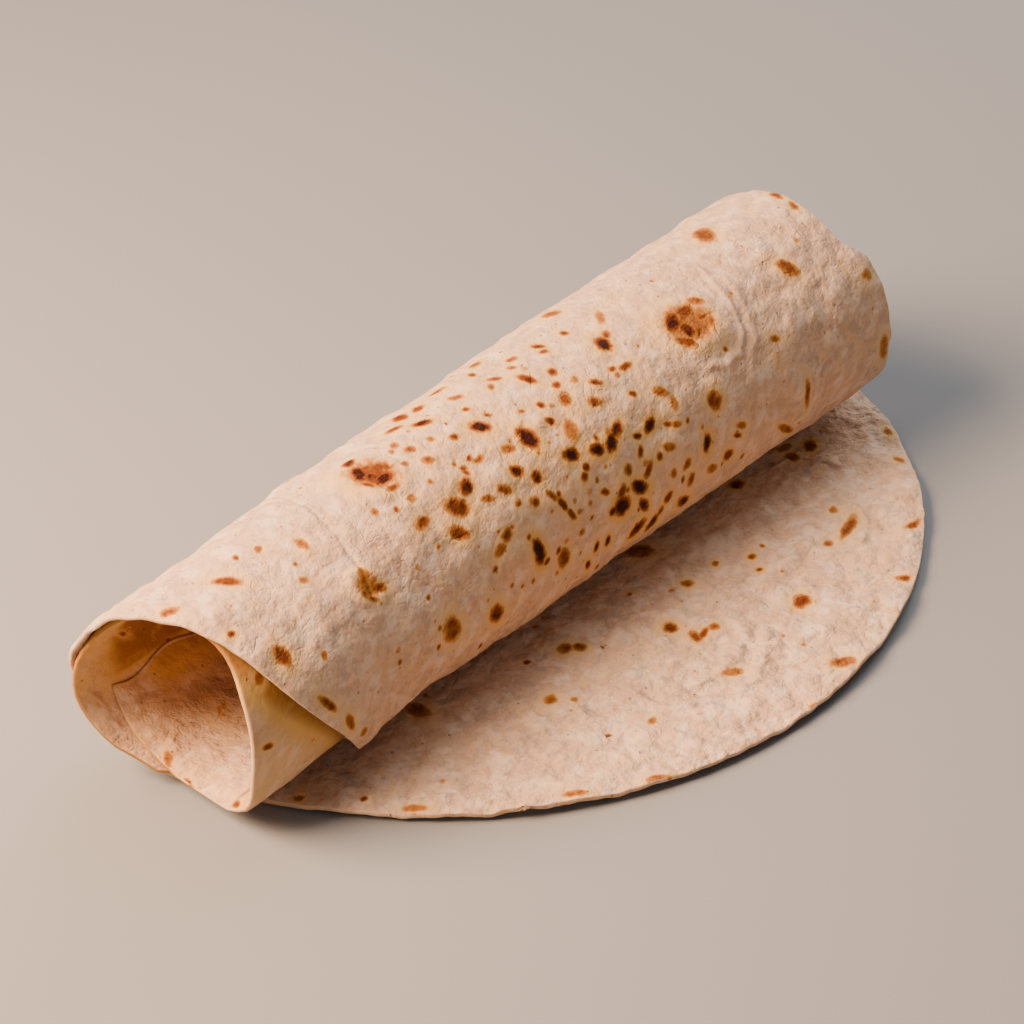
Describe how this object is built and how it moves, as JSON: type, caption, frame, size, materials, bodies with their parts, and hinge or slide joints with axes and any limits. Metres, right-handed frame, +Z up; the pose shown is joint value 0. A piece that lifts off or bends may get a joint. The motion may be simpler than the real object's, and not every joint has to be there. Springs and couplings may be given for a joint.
{
  "type": "rolled lavash flatbread",
  "caption": "Soft flatbread sheet rolled into an open tube with its round end lying flat in front.",
  "frame": {"origin": "centre of the bounding box in plan, on the surface the bread lies on", "axes": "+X along the roll from the mouth that shows its turns to the far end, -Y towards the flat flap, +Z up"},
  "size_m": [0.3068, 0.1496, 0.0778],
  "materials": {
    "bread": "matt cream crust with brown baked spots"
  },
  "bodies": {
    "root": {"lavash": "bread"}
  },
  "joints": []
}
